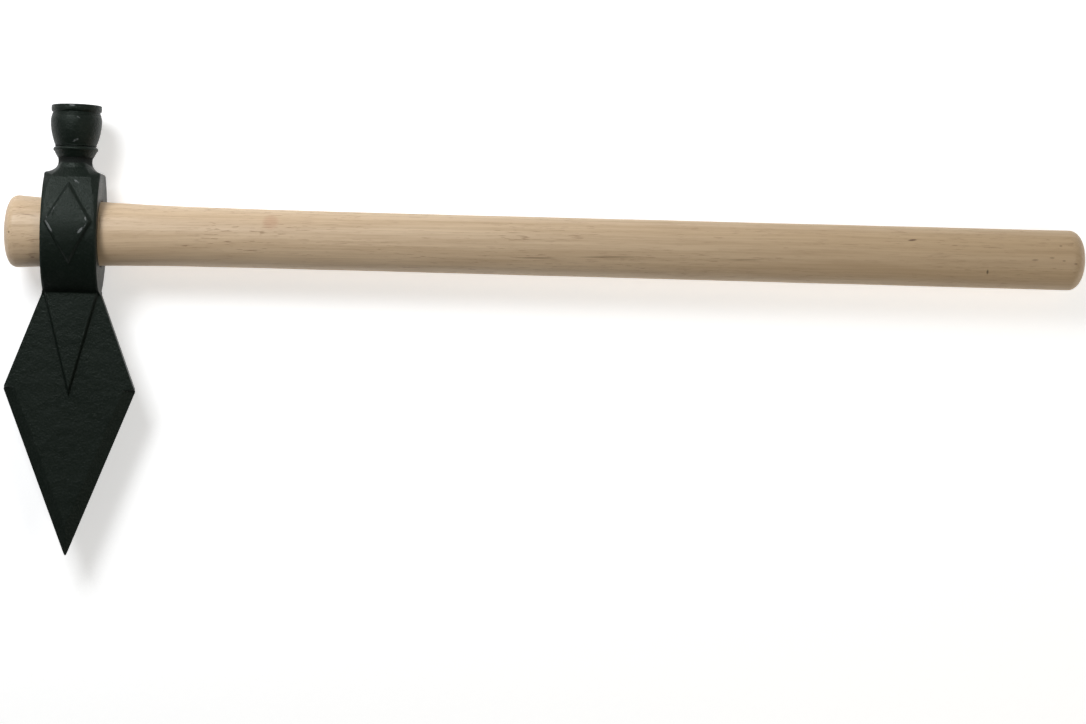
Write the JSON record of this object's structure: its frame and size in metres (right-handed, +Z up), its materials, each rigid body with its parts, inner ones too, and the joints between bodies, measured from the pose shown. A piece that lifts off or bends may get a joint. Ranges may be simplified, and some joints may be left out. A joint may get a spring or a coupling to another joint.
{
  "type": "pipe tomahawk",
  "caption": "Steel hatchet head with a kite-shaped blade and a pipe bowl, wedged on a straight wooden handle.",
  "frame": {"origin": "centre of the bounding box's base, with the tomahawk lying on its side", "axes": "+X along the handle to its butt, +Y to the pipe bowl, +Z up through the cheek"},
  "size_m": [0.5588, 0.233, 0.0422],
  "materials": {
    "wood": "bare, fine lengthwise grain",
    "black_paint": "satin black, finely pebbled",
    "black_oxide": "black oxide"
  },
  "bodies": {
    "handle": {"handle": "wood"},
    "axe_head": {"axe_head": "black_paint"},
    "set_screw": {"set_screw": "black_oxide"}
  },
  "joints": [
    {"name": "head_slide", "type": "slide", "parent": "handle", "child": "axe_head", "axis": [1, 0, 0], "range_m": [0, 0.545]},
    {"name": "set_screw_turn", "type": "hinge", "parent": "axe_head", "child": "set_screw", "pos_m": [-0.2443, 0.0552, 0.0013], "axis": [0, 0, 1], "range_deg": [0, 1080]}
  ]
}
